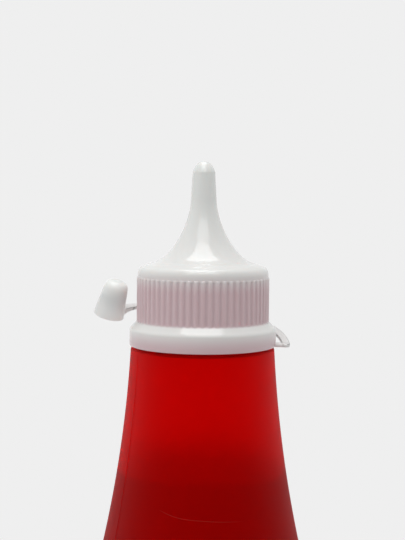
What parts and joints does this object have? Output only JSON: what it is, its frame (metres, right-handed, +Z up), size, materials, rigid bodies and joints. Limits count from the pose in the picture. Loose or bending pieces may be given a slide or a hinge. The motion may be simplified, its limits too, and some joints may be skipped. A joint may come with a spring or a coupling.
{
  "type": "ketchup bottle",
  "caption": "Red translucent squeeze bottle of ketchup with a white ribbed spout cap, whose tip cap hangs open on a strap round the back.",
  "frame": {"origin": "centre of the base, at the height of the surface it stands on", "axes": "+Z up along the bottle's axis, +X towards the bridge of the strap, -Y towards the front"},
  "size_m": [0.07, 0.07, 0.1935],
  "materials": {
    "red_plastic": "satin translucent",
    "ketchup": "wet",
    "white_plastic": "satin"
  },
  "bodies": {
    "root": {"bottle": "red_plastic", "ketchup": "ketchup", "cap": "white_plastic"}
  },
  "joints": []
}
